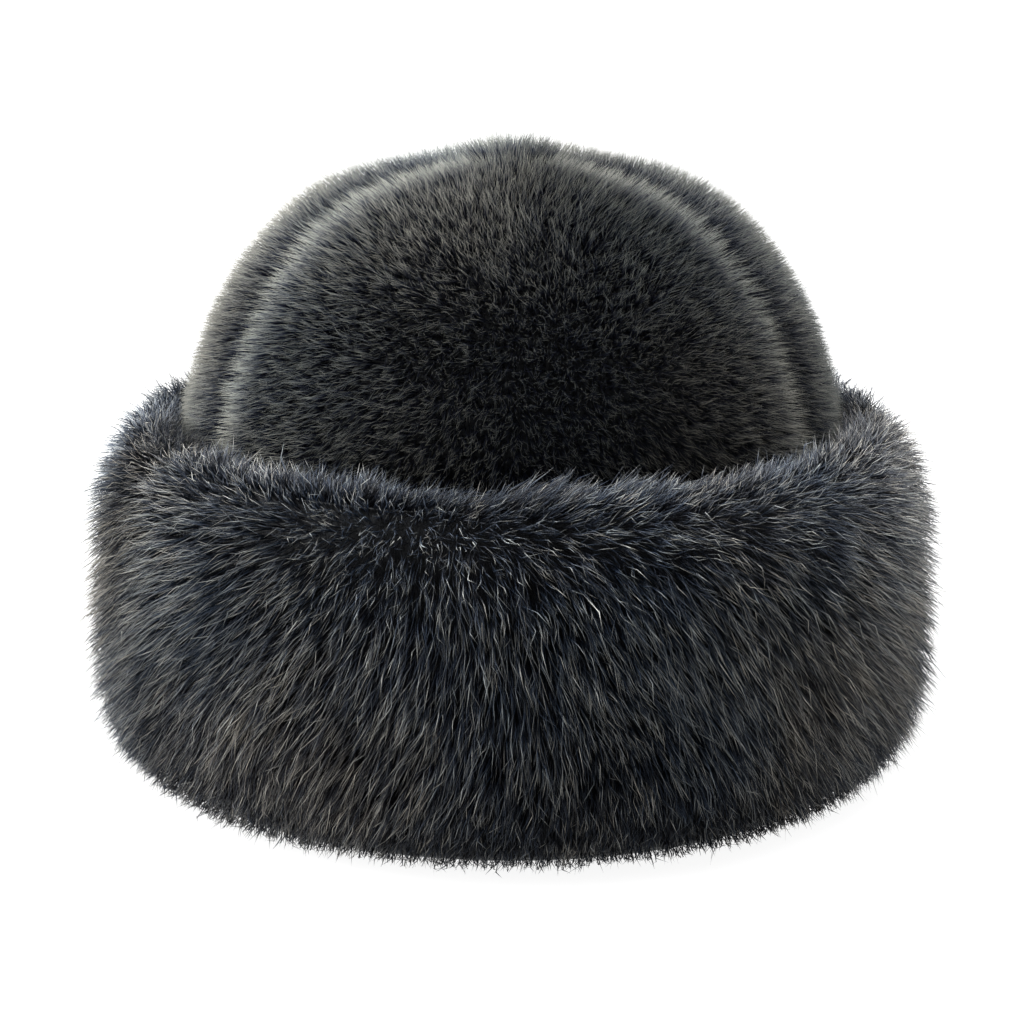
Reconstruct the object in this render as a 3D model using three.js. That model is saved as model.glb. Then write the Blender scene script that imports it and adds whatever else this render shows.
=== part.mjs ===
// A domed fur hat with a wide turned-up fur cuff, of the telpek family.
// Millimetres, +Z up, the wearer's face towards -Y, the origin on the floor in the middle of the hat.
// The crown is sewn from four gores of short-pile fur, wide before and behind and narrow at the sides.
// The cuff is a band of long-pile fur, turned up round the crown from the rim that they share.
// Fur is modelled as locks: tongues rooted in the backing that overlap the row below, as shingles do.
import * as THREE from "three";

// The hollow for the head
const headHalfWidth = 90; // from the middle to an ear
const headHalfDepth = 94; // from the middle to the brow or the nape
const wallHeight = 86; // where the upright wall turns into the dome
const domeFullness = 2.4; // 2 is an ellipse, and more is squarer

// The crown
const overallHeight = 200; // from the floor to the top of the pile
const crownBacking = 2.5; // the cloth that the short pile stands on
const crownPile = 15; // how thick the short pile is
const tuckedPile = 1.5; // the same pile, pressed flat inside the cuff
const apexTuft = 3; // how far the pile stands up where the gores meet
const seamAzimuth = 60; // degrees from the front, and from the back, to each seam
const seamDip = 4.5; // how much lower the pile lies along a seam
const seamGap = 0.3; // between two gores
const rimLift = 3; // from the floor to the crown's lower edge
const crownLockRows = 10;
const crownLockRoot = 4.5; // how deep under the pile's surface a lock starts
const crownLockValley = 2; // how deep the furrow between two locks is

// The cuff
const cuffHeight = 114; // from the floor to the ridge
const cuffBacking = 3; // the doubled cloth of the band
const cuffPile = 43; // how far the long pile stands out
const ridgeRise = 11; // from where the cuff's fur meets the crown up to the ridge
const ridgeSetback = 9; // from the crown's pile out to the ridge
const bulgeHeight = 46; // height of the cuff's widest line
const footWidth = 17; // the flat ring of pressed fur that the hat stands on
const footClearance = 1; // the lowest that the locks beside that ring reach
const tuckGap = 0.3; // between the crown and the cuff
const shelfDrop = 13; // height over which the crown's pile is pressed down to go inside the cuff
const ridgeFullness = 2; // the round from the crown up to the ridge, 2 being an ellipse
const shoulderFullness = 2.15; // the round from the ridge to the widest line
const footFullness = 2.4; // the round from the widest line to the floor
const cuffLockRows = 8;
const cuffLockRoot = 9;
const cuffLockValley = 4;

// All locks
const columnAngle = 6; // degrees for half a lock's width
const lockOverhang = 0.4; // how far a tip hangs over the next row, as a share of a row
const furrowOverhang = 0.05; // the same between two locks
const lengthVariety = 0.3; // how unequal the overhangs are, as a share
const depthVariety = 0.35; // how unequal the furrows are, as a share
const hollowRows = 7; // bands of faces on the inside of a gore
const domeSteps = 160; // steps along the section of the dome, at which it can be asked for a point
const quarterSteps = 60; // the same along each round of the cuff

// Sizes that follow
const crownThickness = crownBacking + crownPile;
const hollowHeight = overallHeight - crownThickness - apexTuft;
const meanHalf = (headHalfWidth + headHalfDepth) / 2;
const seatHeight = cuffHeight - ridgeRise;
const shelfHeight = seatHeight - shelfDrop;
const seamHalfGap = seamGap / 2;
// A gore is moved out along its middle to open its seams, and the cuff clears the gore that moves most.
const narrowHalfAngle = Math.min(seamAzimuth, 90 - seamAzimuth);
const cuffClearance = seamHalfGap / Math.sin(radians(narrowHalfAngle)) + tuckGap;
const tuckedThickness = crownBacking + tuckedPile;
const cuffInside = tuckedThickness + cuffClearance;
const cuffOutside = cuffInside + cuffBacking + cuffPile;

function radians(degrees) {
  return (degrees * Math.PI) / 180;
}

function mix(from, to, share) {
  return from + (to - from) * share;
}

// The same number from -1 to 1 each time for a row and column, so that locks differ but rebuild alike.
function variety(row, column, kind) {
  const wave = Math.sin(row * 12.9898 + column * 78.233 + kind * 37.719) * 43758.5453;
  return 2 * (wave - Math.floor(wave)) - 1;
}

// A point at an azimuth from the front, so far outside an oval that is the hollow's plan times a share.
function place(azimuth, share, outwards, height) {
  const angle = radians(azimuth);
  return new THREE.Vector3(
    (headHalfWidth * share + outwards) * Math.sin(angle),
    -(headHalfDepth * share + outwards) * Math.cos(angle),
    height,
  );
}

// A quarter of a rounded square, from straight up at turn 0 to straight out at turn 1.
function quarter(turn, fullness) {
  const angle = (turn * Math.PI) / 2;
  return {
    out: Math.sin(angle) ** (2 / fullness),
    up: Math.cos(angle) ** (2 / fullness),
  };
}

// A line of the section, to be asked for its point and outward normal at a distance along it.
// Each sample has share (of the hollow's plan), out and up, in mm.
class Track {
  constructor(samples) {
    this.samples = samples;
    this.flat = samples.map((s) => new THREE.Vector2(s.share * meanHalf + s.out, s.up));
    this.reached = [0];
    for (let i = 1; i < samples.length; i += 1) {
      this.reached.push(this.reached[i - 1] + this.flat[i].distanceTo(this.flat[i - 1]));
    }
    this.length = this.reached.at(-1);
  }

  at(distance) {
    const wanted = Math.min(Math.max(distance, 0), this.length);
    let i = 1;
    while (i < this.reached.length - 1 && this.reached[i] < wanted) i += 1;
    const part = (wanted - this.reached[i - 1]) / (this.reached[i] - this.reached[i - 1]);
    const [before, after] = [this.samples[i - 1], this.samples[i]];
    const along = this.flat[i].clone().sub(this.flat[i - 1]).normalize();
    return {
      share: mix(before.share, after.share, part),
      out: mix(before.out, after.out, part),
      up: mix(before.up, after.up, part),
      normal: new THREE.Vector2(-along.y, along.x),
    };
  }

  // The distance at which a skin of some thickness over the line has come down to a height.
  reaching(height, thickness) {
    let [above, below] = [0, this.length];
    const halvings = 30;
    for (let i = 0; i < halvings; i += 1) {
      const middle = (above + below) / 2;
      const point = this.at(middle);
      if (point.up + thickness * point.normal.y > height) above = middle;
      else below = middle;
    }
    return below;
  }
}

// From the top of the hollow down its dome and its upright wall to the rim.
function makeHollow() {
  const samples = [];
  for (let i = 0; i <= domeSteps; i += 1) {
    const q = quarter(i / domeSteps, domeFullness);
    samples.push({ share: q.out, out: 0, up: mix(wallHeight, hollowHeight, q.up) });
  }
  samples.push({ share: 1, out: 0, up: rimLift });
  return new Track(samples);
}

const hollow = makeHollow();
const exposed = hollow.reaching(seatHeight, crownThickness);

// Over the cuff: up from the crown to the ridge, out and down to the widest line, and in to the floor.
function makeCuffOutline() {
  const seat = hollow.at(exposed);
  const seatOut = (seat.share - 1) * meanHalf + crownThickness * seat.normal.x + cuffClearance;
  const seatCorner = [seatOut, seatHeight];
  const ridgeCorner = [seatOut + ridgeSetback, cuffHeight];
  const bulgeCorner = [cuffOutside, bulgeHeight];
  const footCorner = [cuffInside + footWidth, 0];
  // Each row is one quarter between two corners, which leaves the first of them upright or level.
  const quarters = [
    { from: seatCorner, to: ridgeCorner, upright: true, fullness: ridgeFullness },
    { from: ridgeCorner, to: bulgeCorner, upright: false, fullness: shoulderFullness },
    { from: bulgeCorner, to: footCorner, upright: true, fullness: footFullness },
  ];
  const samples = [{ share: 1, out: seatOut, up: seatHeight }];
  for (const { from, to, upright, fullness } of quarters) {
    for (let i = 1; i <= quarterSteps; i += 1) {
      const q = quarter(i / quarterSteps, fullness);
      const [outShare, upShare] = upright ? [1 - q.up, q.out] : [q.out, 1 - q.up];
      samples.push({ share: 1, out: mix(from[0], to[0], outShare), up: mix(from[1], to[1], upShare) });
    }
  }
  return new Track(samples);
}

// Collects points and faces, and turns them into one closed mesh.
class Skin {
  points = [];

  faces = [];

  line(points) {
    return points.map((point) => this.points.push(point) - 1);
  }

  // Joins two lines of points, of which the first is reached first on the way down the outside.
  band(first, second, isRing, row) {
    const count = isRing ? first.length : first.length - 1;
    for (let c = 0; c < count; c += 1) {
      const d = (c + 1) % first.length;
      if ((c + row) % 2) {
        this.faces.push([first[c], second[c], second[d]], [first[c], second[d], first[d]]);
      } else {
        this.faces.push([first[c], second[c], first[d]], [second[c], second[d], first[d]]);
      }
    }
  }

  // Closes a side, given its outline in an upright plane through the axis.
  side(outline, isFirst) {
    const flat = outline.map((index) => {
      const { x, y, z } = this.points[index];
      return new THREE.Vector2(Math.hypot(x, y), z);
    });
    for (const [a, b, c] of THREE.ShapeUtils.triangulateShape(flat, [])) {
      const turnsLeft = THREE.ShapeUtils.area([flat[a], flat[b], flat[c]]) > 0;
      const corners = turnsLeft === isFirst ? [a, b, c] : [a, c, b];
      this.faces.push(corners.map((k) => outline[k]));
    }
  }

  mesh(name, material) {
    const geometry = new THREE.BufferGeometry();
    const numbers = this.points.flatMap((point) => point.toArray());
    geometry.setAttribute("position", new THREE.Float32BufferAttribute(numbers, 3));
    geometry.setIndex(this.faces.flat());
    geometry.computeVertexNormals();
    const mesh = new THREE.Mesh(geometry, material);
    mesh.name = name;
    return mesh;
  }
}

function evenly(from, to, steps) {
  return Array.from({ length: steps + 1 }, (_, i) => mix(from, to, i / steps));
}

// The lines of points over rows of locks: the roots of each row, and tips that overhang the next roots.
// The edges are the distances at which a row ends and the next begins, and
// point(column, distance, depth) gives a point so deep under the fur's surface.
// The first row has no root line and the last row no tips, because other lines take their place.
function lockLines({ edges, columnCount, repeat, root, valley, point, isCalm }) {
  const columns = Array.from({ length: columnCount }, (_, column) => column);
  const tip = (column, row) => {
    const end = edges[row + 1];
    const pitch = end - edges[row];
    if (isCalm(column)) return point(column, end, valley / 2);
    const twin = column % repeat;
    if ((column + row) % 2) {
      const depth = valley * (1 + depthVariety * variety(row, twin, 1));
      return point(column, end + furrowOverhang * pitch, depth);
    }
    const overhang = lockOverhang * (1 + lengthVariety * variety(row, twin, 2));
    return point(column, end + overhang * pitch, 0);
  };
  const lines = [];
  const rows = edges.length - 1;
  for (let row = 0; row < rows; row += 1) {
    if (row > 0) lines.push(columns.map((column) => point(column, edges[row], root)));
    if (row < rows - 1) lines.push(columns.map((column) => tip(column, row)));
  }
  return lines;
}

// The azimuths of a gore's columns of points, an even number of steps from seam to seam.
function goreAzimuths(from, to) {
  return evenly(from, to, 2 * Math.round((to - from) / columnAngle / 2));
}

// One gore of the crown, from one seam to the next.
function crownGore({ name, from, to }, material) {
  const azimuths = goreAzimuths(from, to);
  const last = azimuths.length - 1;
  const atSeam = (column) => column === 0 || column === last;
  const skinPoint = (column, distance, thickness) => {
    const s = hollow.at(distance);
    return place(azimuths[column], s.share, thickness * s.normal.x, s.up + thickness * s.normal.y);
  };
  const furPoint = (column, distance, depth) =>
    skinPoint(column, distance, crownThickness - depth - (atSeam(column) ? seamDip : 0));
  const skinLine = (distance, thickness) =>
    azimuths.map((_, column) => skinPoint(column, distance, thickness));

  const skin = new Skin();
  const [top] = skin.line([place(0, 0, 0, hollowHeight + crownThickness + apexTuft)]);
  const [under] = skin.line([place(0, 0, 0, hollowHeight)]);
  const locks = lockLines({
    edges: evenly(0, exposed, crownLockRows),
    columnCount: azimuths.length,
    repeat: azimuths.length,
    root: crownLockRoot,
    valley: crownLockValley,
    point: furPoint,
    isCalm: atSeam,
  });
  const tucked = [
    azimuths.map((_, column) => furPoint(column, exposed, 0)),
    skinLine(hollow.reaching(shelfHeight, tuckedThickness), tuckedThickness),
    skinLine(hollow.length, tuckedThickness),
  ];
  const inside = evenly(hollow.length, 0, hollowRows)
    .slice(0, -1)
    .map((distance) => skinLine(distance, 0));
  const lines = [...locks, ...tucked, ...inside].map((points) => skin.line(points));
  for (let column = 0; column < last; column += 1) {
    skin.faces.push([top, lines[0][column], lines[0][column + 1]]);
    skin.faces.push([lines.at(-1)[column], under, lines.at(-1)[column + 1]]);
  }
  lines.slice(1).forEach((line, row) => skin.band(lines[row], line, false, row));
  skin.side([top, ...lines.map((line) => line[0]), under], true);
  skin.side([top, ...lines.map((line) => line[last]), under], false);

  const gore = skin.mesh(name, material);
  const middle = radians((from + to) / 2);
  const shift = seamHalfGap / Math.sin(radians((to - from) / 2));
  gore.position.set(shift * Math.sin(middle), -shift * Math.cos(middle), 0);
  return gore;
}

// The turned-up band, with locks all over its outside and a flat foot of pressed fur.
function cuffBand(name, gores, material) {
  const azimuths = gores.flatMap(({ from, to }) => goreAzimuths(from, to).slice(0, -1));
  const outline = makeCuffOutline();
  const furPoint = (column, distance, depth) => {
    const s = outline.at(distance);
    const height = Math.max(s.up - depth * s.normal.y, footClearance);
    return place(azimuths[column], 1, s.out - depth * s.normal.x, height);
  };
  const ring = (outwards, height) => azimuths.map((azimuth) => place(azimuth, 1, outwards, height));
  const skin = new Skin();
  const lines = [
    ring(outline.at(0).out, seatHeight),
    ...lockLines({
      // The first row of locks stands up from the crown and ends on the ridge.
      edges: [0, ...evenly(outline.reached[quarterSteps], outline.length, cuffLockRows - 1)],
      columnCount: azimuths.length,
      repeat: azimuths.length / 2, // opposite locks match, which keeps the hat's middle over the origin
      root: cuffLockRoot,
      valley: cuffLockValley,
      point: furPoint,
      isCalm: () => false,
    }),
    ring(cuffInside + footWidth, 0),
    ring(cuffInside, 0),
    ring(cuffInside, shelfHeight - cuffClearance),
  ].map((points) => skin.line(points));
  lines.forEach((line, row) => skin.band(line, lines[(row + 1) % lines.length], true, row));
  return skin.mesh(name, material);
}

const shortFur = new THREE.MeshStandardMaterial({ color: 0x33363b, roughness: 0.85, metalness: 0 });
const longFur = new THREE.MeshStandardMaterial({ color: 0x2b2e34, roughness: 0.75, metalness: 0 });

const gores = [
  { name: "crown_front", from: -seamAzimuth, to: seamAzimuth },
  { name: "crown_right", from: seamAzimuth, to: 180 - seamAzimuth },
  { name: "crown_back", from: 180 - seamAzimuth, to: 180 + seamAzimuth },
  { name: "crown_left", from: 180 + seamAzimuth, to: 360 - seamAzimuth },
];

const hat = new THREE.Group();
gores.forEach((gore) => hat.add(crownGore(gore, shortFur)));
hat.add(cuffBand("cuff", gores, longFur));

export default hat;
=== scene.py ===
# %% [markdown]
# # A fur hat with a turned-up fur cuff
#
# The real hat is sewn from two furs. The domed crown is four gores of short, dense pile, and the wide cuff
# is a band of long, silky pile, turned up from the rim. Nothing on it is smooth: every outline is made of
# hair. The model is built the way the hat is: a cloth-backed skin for each sewn piece, and 178 thousand
# separate hairs that stand in them. The frame that is loaded first is the solid model of the same hat.

import math

import bpy
import numpy as np
from mathutils import Matrix, Vector, kdtree


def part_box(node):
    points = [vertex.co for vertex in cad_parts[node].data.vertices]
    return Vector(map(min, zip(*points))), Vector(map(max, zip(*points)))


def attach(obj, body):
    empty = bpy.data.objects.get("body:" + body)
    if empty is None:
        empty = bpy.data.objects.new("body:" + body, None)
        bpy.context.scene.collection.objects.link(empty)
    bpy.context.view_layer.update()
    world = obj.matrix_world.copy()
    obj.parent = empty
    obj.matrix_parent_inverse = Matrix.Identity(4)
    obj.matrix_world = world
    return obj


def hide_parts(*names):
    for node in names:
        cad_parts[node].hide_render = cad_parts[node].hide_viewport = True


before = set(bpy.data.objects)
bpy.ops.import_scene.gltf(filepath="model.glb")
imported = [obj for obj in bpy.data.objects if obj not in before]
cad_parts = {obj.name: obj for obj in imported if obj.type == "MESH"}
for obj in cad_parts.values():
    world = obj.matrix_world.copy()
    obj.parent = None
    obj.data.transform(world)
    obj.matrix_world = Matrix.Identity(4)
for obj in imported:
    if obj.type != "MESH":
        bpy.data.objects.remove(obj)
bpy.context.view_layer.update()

# %% [markdown]
# ## Sizes
#
# Fur hides its own skin, so the shapes below are stated twice over: where the skin is, and where the tips
# of the hairs end. The hollow for the head is an oval with a rounded dome, and every other surface is
# measured outwards from it. The hat's height is read from the frame, and the rest are the sizes it was
# designed with.

# %% The hat's sizes, in metres
MM = 0.001
HEAD_HALF_WIDTH = 90 * MM
HEAD_HALF_DEPTH = 94 * MM
WALL_HEIGHT = 86 * MM  # where the upright wall of the hollow turns into its dome
DOME_FULLNESS = 2.4  # 2 is an ellipse, and more is squarer
RIM_LIFT = 3 * MM
CROWN_BACKING = 2.5 * MM
CROWN_PILE = 15 * MM
APEX_TUFT = 3 * MM
TUCKED = 4 * MM  # backing and pressed pile inside the cuff
SEAM_AZIMUTH = 60  # degrees from the front, and from the back
SEAM_SHIFT = {120: 0.173 * MM, 60: 0.3 * MM}  # how far a gore of that span stands out to open its seams
CUFF_HEIGHT = 114 * MM
RIDGE_RISE = 11 * MM
RIDGE_SETBACK = 9 * MM
CUFF_CLEARANCE = 0.6 * MM
CUFF_BACKING = 3 * MM
CUFF_PILE = 43 * MM
BULGE_HEIGHT = 46 * MM
FOOT_WIDTH = 17 * MM
RIDGE_FULLNESS, SHOULDER_FULLNESS, FOOT_FULLNESS = 2, 2.15, 2.4

CROWN_THICKNESS = CROWN_BACKING + CROWN_PILE
MEAN_HALF = (HEAD_HALF_WIDTH + HEAD_HALF_DEPTH) / 2
TOP_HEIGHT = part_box("crown_front")[1].z
HOLLOW_HEIGHT = TOP_HEIGHT - CROWN_THICKNESS - APEX_TUFT
SEAT_HEIGHT = CUFF_HEIGHT - RIDGE_RISE
print("top of the pile", round(TOP_HEIGHT, 4), "top of the hollow", round(HOLLOW_HEIGHT, 4))

# %% [markdown]
# ## The section line
#
# Both furs follow one idea: a line down the section of the hat, carried round the oval. A line holds, for
# each point, its share of the hollow's plan, how far outside it lies and how high it is. Asking it for a
# distance gives the point and the direction that faces out of the hat there, which is the way the hair
# grows.

# %% Section lines
QUARTER_STEPS = 60
HOLLOW_STEPS = 160
SEARCH_STEPS = 4000


def quarter(turn, fullness):
    """A quarter of a rounded square, from straight up at turn 0 to straight out at turn 1."""
    angle = turn * math.pi / 2
    return np.sin(angle) ** (2 / fullness), np.cos(angle).clip(0) ** (2 / fullness)


class Line:
    """Points of a section, to be asked for what lies at a distance along them."""

    def __init__(self, share, out, up):
        self.columns = np.stack([share, out, up], 1)
        flat = np.stack([share * MEAN_HALF + out, up], 1)
        steps = np.diff(flat, axis=0)
        lengths = np.hypot(*steps.T)
        self.reached = np.concatenate([[0], np.cumsum(lengths)])
        self.length = self.reached[-1]
        along = steps / lengths[:, None]
        self.middles = (self.reached[1:] + self.reached[:-1]) / 2
        self.normals = np.stack([-along[:, 1], along[:, 0]], 1)

    def at(self, distance):
        """The share of the plan, how far outside it, the height, and the way out of the hat."""
        share, out, up = (np.interp(distance, self.reached, column) for column in self.columns.T)
        facing = np.stack([np.interp(distance, self.middles, n) for n in self.normals.T], -1)
        facing = facing / np.linalg.norm(facing, axis=-1, keepdims=True)
        return share, out, up, facing

    def reaching(self, height, thickness):
        """The distance at which a skin of some thickness over the line has come down to a height."""
        tries = np.linspace(0, self.length, SEARCH_STEPS)
        _, _, up, facing = self.at(tries)
        return tries[np.argmax(up + thickness * facing[:, 1] <= height)]


print("halfway round a quarter of the dome", np.round(quarter(0.5, DOME_FULLNESS), 3))


# %% The lines of the hollow and of the cuff
def hollow_line():
    """From the top of the hollow down its dome and its upright wall to the rim."""
    out, up = quarter(np.linspace(0, 1, HOLLOW_STEPS + 1), DOME_FULLNESS)
    heights = WALL_HEIGHT + (HOLLOW_HEIGHT - WALL_HEIGHT) * up
    return Line(np.append(out, 1), np.zeros(HOLLOW_STEPS + 2), np.append(heights, RIM_LIFT))


def cuff_line():
    """From the crown up over the ridge, out to the widest place and down to the foot."""
    share, _, _, facing = HOLLOW.at(EXPOSED)
    seat = (share - 1) * MEAN_HALF + CROWN_THICKNESS * facing[0] + CUFF_CLEARANCE
    inside = TUCKED + CUFF_CLEARANCE
    corners = [
        (seat, SEAT_HEIGHT),
        (seat + RIDGE_SETBACK, CUFF_HEIGHT),
        (inside + CUFF_BACKING + CUFF_PILE, BULGE_HEIGHT),
        (inside + FOOT_WIDTH, 0),
    ]
    outs, ups = [np.array([seat])], [np.array([SEAT_HEIGHT])]
    fullnesses = (RIDGE_FULLNESS, SHOULDER_FULLNESS, FOOT_FULLNESS)
    rounds = zip(corners, corners[1:], (True, False, True), fullnesses)
    for (out0, up0), (out1, up1), upright, fullness in rounds:
        across, climb = quarter(np.linspace(0, 1, QUARTER_STEPS + 1)[1:], fullness)
        out_share, up_share = (1 - climb, across) if upright else (across, 1 - climb)
        outs.append(out0 + (out1 - out0) * out_share)
        ups.append(up0 + (up1 - up0) * up_share)
    out, up = np.concatenate(outs), np.concatenate(ups)
    return Line(np.ones(len(out)), out, up)


def on_oval(azimuth, share, out, up):
    """Points at azimuths in degrees from the front, turning towards +X."""
    turn = np.radians(azimuth)
    x = (HEAD_HALF_WIDTH * share + out) * np.sin(turn)
    y = -(HEAD_HALF_DEPTH * share + out) * np.cos(turn)
    return np.stack(np.broadcast_arrays(x, y, up), -1)


HOLLOW = hollow_line()
EXPOSED = HOLLOW.reaching(SEAT_HEIGHT, CROWN_THICKNESS)
CUFF = cuff_line()
print("the crown shows for", round(EXPOSED / MM), "mm down")
print("the cuff's outside is", round(CUFF.length / MM), "mm")

# %% [markdown]
# ## Camera, floor and light
#
# The picture looks a little down on the hat, from close enough for a slight perspective. The hat
# stands on a sweep, which is a floor that curves up into a backdrop, so that no horizon shows. Its paper is
# dark but lit from beneath, as a light table is, so it stays white and takes no shadow. Dark fur needs much
# soft light from behind: the sky is dim on the camera's side and brightest behind the hat and above it, and
# three large lamps stand left, right and overhead. The pile near each outline then turns pale, and the
# front stays dark. A white band of sky along the horizon keeps the ground white from the other sides.

# %% Camera
CAMERA_DISTANCE = 0.85
CAMERA_ELEVATION = 13
PIXELS_PER_METRE = 3020  # at the camera's distance, in a picture of 1024 pixels
PICTURE = 1024
SENSOR = 36
AIM = Vector((0, 0, 0.095))
AIM_ROW = 456  # the picture's row that the aim falls on
NEAREST, FARTHEST = 0.05, 20


def add_camera():
    data = bpy.data.cameras.new("camera")
    camera = bpy.data.objects.new("camera", data)
    bpy.context.scene.collection.objects.link(camera)
    tilt = math.radians(CAMERA_ELEVATION)
    back = Vector((0, -math.cos(tilt), math.sin(tilt)))
    camera.location = AIM + back * CAMERA_DISTANCE
    camera.rotation_mode = "QUATERNION"
    camera.rotation_quaternion = (-back).to_track_quat("-Z", "Y")
    data.sensor_width = SENSOR
    data.lens = PIXELS_PER_METRE * CAMERA_DISTANCE / PICTURE * SENSOR
    data.shift_y = (AIM_ROW - PICTURE / 2) / PICTURE
    data.clip_start, data.clip_end = NEAREST, FARTHEST
    bpy.context.scene.camera = camera
    return camera


camera = add_camera()
print("lens", round(camera.data.lens, 1), "mm, shift", round(camera.data.shift_y, 3))


# %% A helper for nodes, and one for colours
def linear(hex_colour):
    """An sRGB hex value as linear red, green, blue and alpha."""
    channels = [int(hex_colour[i : i + 2], 16) / 255 for i in (1, 3, 5)]
    return (*[c / 12.92 if c <= 0.04045 else ((c + 0.055) / 1.055) ** 2.4 for c in channels], 1)


def set_stops(ramp, stops):
    """Gives a colour ramp its stops, each a position and a hex colour."""
    while len(ramp.elements) > 1:
        ramp.elements.remove(ramp.elements[-1])
    ramp.elements[0].position, ramp.elements[0].color = stops[0][0], linear(stops[0][1])
    for position, colour in stops[1:]:
        ramp.elements.new(position).color = linear(colour)


def add_node(tree, kind, settings=None, **inputs):
    """Adds a node, sets its properties, and sets or links its inputs. An input is named with _ for a space,
    or with _ and its number. The setting named stops is a colour ramp's."""
    node = tree.nodes.new(kind)
    for name, value in (settings or {}).items():
        if name == "stops":
            set_stops(node.color_ramp, value)
        else:
            setattr(node, name, value)
    for name, value in inputs.items():
        place = int(name[1:]) if name[1:].isdigit() else name.replace("_", " ")
        socket = node.inputs[place]
        if isinstance(value, bpy.types.NodeSocket):
            tree.links.new(value, socket)
        else:
            socket.default_value = value
    return node


def new_material(name, **settings):
    """A material with one Principled shader, and its node tree."""
    material = bpy.data.materials.new(name)
    material.use_nodes = True
    tree = material.node_tree
    tree.nodes.clear()
    shader = add_node(tree, "ShaderNodeBsdfPrincipled", **settings)
    output = add_node(tree, "ShaderNodeOutputMaterial")
    tree.links.new(shader.outputs["BSDF"], output.inputs["Surface"])
    return material, tree, shader


EASED = {"interpolation_type": "SMOOTHSTEP"}  # for a value that is mapped from one range to another
print("mid grey in linear light", round(linear("#808080")[0], 3))

# %% The sweep
FLOOR_HALF_WIDTH = 3.0
SWEEP_START = 1.2
SWEEP_RADIUS = 0.8
SWEEP_STEPS = 12
SWEEP_WALL = 2.5
PAPER_GLOW = 0.92


def add_sweep():
    """A floor that curves up into a wall behind the hat."""
    bpy.ops.object.select_all(action="DESELECT")
    bpy.ops.mesh.primitive_plane_add(size=2)
    sweep = bpy.context.object
    sweep.name = "sweep"
    for vertex in sweep.data.vertices:
        vertex.co.x *= FLOOR_HALF_WIDTH
        vertex.co.y = SWEEP_START if vertex.co.y > 0 else -FLOOR_HALF_WIDTH
    bpy.ops.object.mode_set(mode="EDIT")
    bpy.ops.mesh.select_all(action="DESELECT")
    bpy.ops.object.mode_set(mode="OBJECT")
    for edge in sweep.data.edges:
        edge.select = all(sweep.data.vertices[v].co.y > 0 for v in edge.vertices)
    bpy.ops.object.mode_set(mode="EDIT")
    for step in range(SWEEP_STEPS):
        turn = (step + 0.5) / SWEEP_STEPS * math.pi / 2
        length = SWEEP_RADIUS * math.pi / 2 / SWEEP_STEPS
        move = (0, length * math.cos(turn), length * math.sin(turn))
        bpy.ops.mesh.extrude_region_move(TRANSFORM_OT_translate={"value": move})
    bpy.ops.mesh.extrude_region_move(TRANSFORM_OT_translate={"value": (0, 0, SWEEP_WALL)})
    bpy.ops.object.mode_set(mode="OBJECT")
    bpy.ops.object.shade_smooth()
    # Matt translucent paper over lamps: its own glow gives a pure white ground with no shadow on it.
    paper, _, shader = new_material("paper lit from beneath", Base_Color=linear("#484848"), Roughness=0.9)
    shader.inputs["Emission Color"].default_value = linear("#FFFFFF")
    shader.inputs["Emission Strength"].default_value = PAPER_GLOW
    sweep.data.materials.append(paper)
    return sweep


sweep = add_sweep()
print("sweep of", len(sweep.data.polygons), "faces")


# %% The sky and the lamps
SKY_WAY = Vector((-0.2, 0.75, 0.6))  # towards the brightest sky: behind the hat, above it and a little left
SKY_DIM, SKY_BRIGHT = 0.14, 6.0
TURN_START, TURN_END = -0.1, 1  # of the brightening: 0 is square to that way, and 1 is along it
BAND_FULL, BAND_TOP = 0.06, 0.14  # heights on a sky of radius 1, between which the white band fades
LAMP_SIZE = 2.6
LAMPS = {  # place in metres, and watts
    "left lamp": ((-1.8, 0.3, 0.8), 240),
    "right lamp": ((1.8, 0.6, 0.9), 35),
    "top lamp": ((0, 0.6, 1.8), 135),
}


def add_lamp(name, place, power):
    data = bpy.data.lights.new(name, "AREA")
    data.shape, data.size, data.energy = "DISK", LAMP_SIZE, power
    lamp = bpy.data.objects.new(name, data)
    lamp.location = place
    lamp.rotation_mode = "QUATERNION"
    lamp.rotation_quaternion = (AIM - Vector(place)).to_track_quat("-Z", "Y")
    bpy.context.scene.collection.objects.link(lamp)


def add_sky():
    """White light from all round, dim on the camera's side and brightest from one way."""
    world = bpy.data.worlds.new("studio sky")
    world.use_nodes = True
    bpy.context.scene.world = world
    tree = world.node_tree
    direction = add_node(tree, "ShaderNodeTexCoord").outputs["Generated"]
    dot = {"operation": "DOT_PRODUCT"}
    towards = add_node(tree, "ShaderNodeVectorMath", dot, _0=direction, _1=SKY_WAY.normalized())
    turn = towards.outputs["Value"]
    strength = add_node(tree, "ShaderNodeMapRange", EASED, Value=turn, From_Min=TURN_START)
    for socket, value in {"From Max": TURN_END, "To Min": SKY_DIM, "To Max": SKY_BRIGHT}.items():
        strength.inputs[socket].default_value = value
    height = add_node(tree, "ShaderNodeSeparateXYZ", Vector=direction)
    band = add_node(tree, "ShaderNodeMapRange", EASED, Value=height.outputs["Z"], From_Min=BAND_FULL)
    for socket, value in {"From Max": BAND_TOP, "To Min": 1, "To Max": 0}.items():
        band.inputs[socket].default_value = value
    whole = add_node(tree, "ShaderNodeMix", _0=band.outputs["Result"], _2=strength.outputs["Result"], _3=1.0)
    tree.nodes["Background"].inputs["Color"].default_value = linear("#FFFFFF")
    tree.links.new(whole.outputs[0], tree.nodes["Background"].inputs["Strength"])


add_sky()
for name, (place, power) in LAMPS.items():
    add_lamp(name, place, power)
bpy.context.scene.view_settings.view_transform = "Standard"
print("a sky and", len(LAMPS), "lamps")

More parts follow.
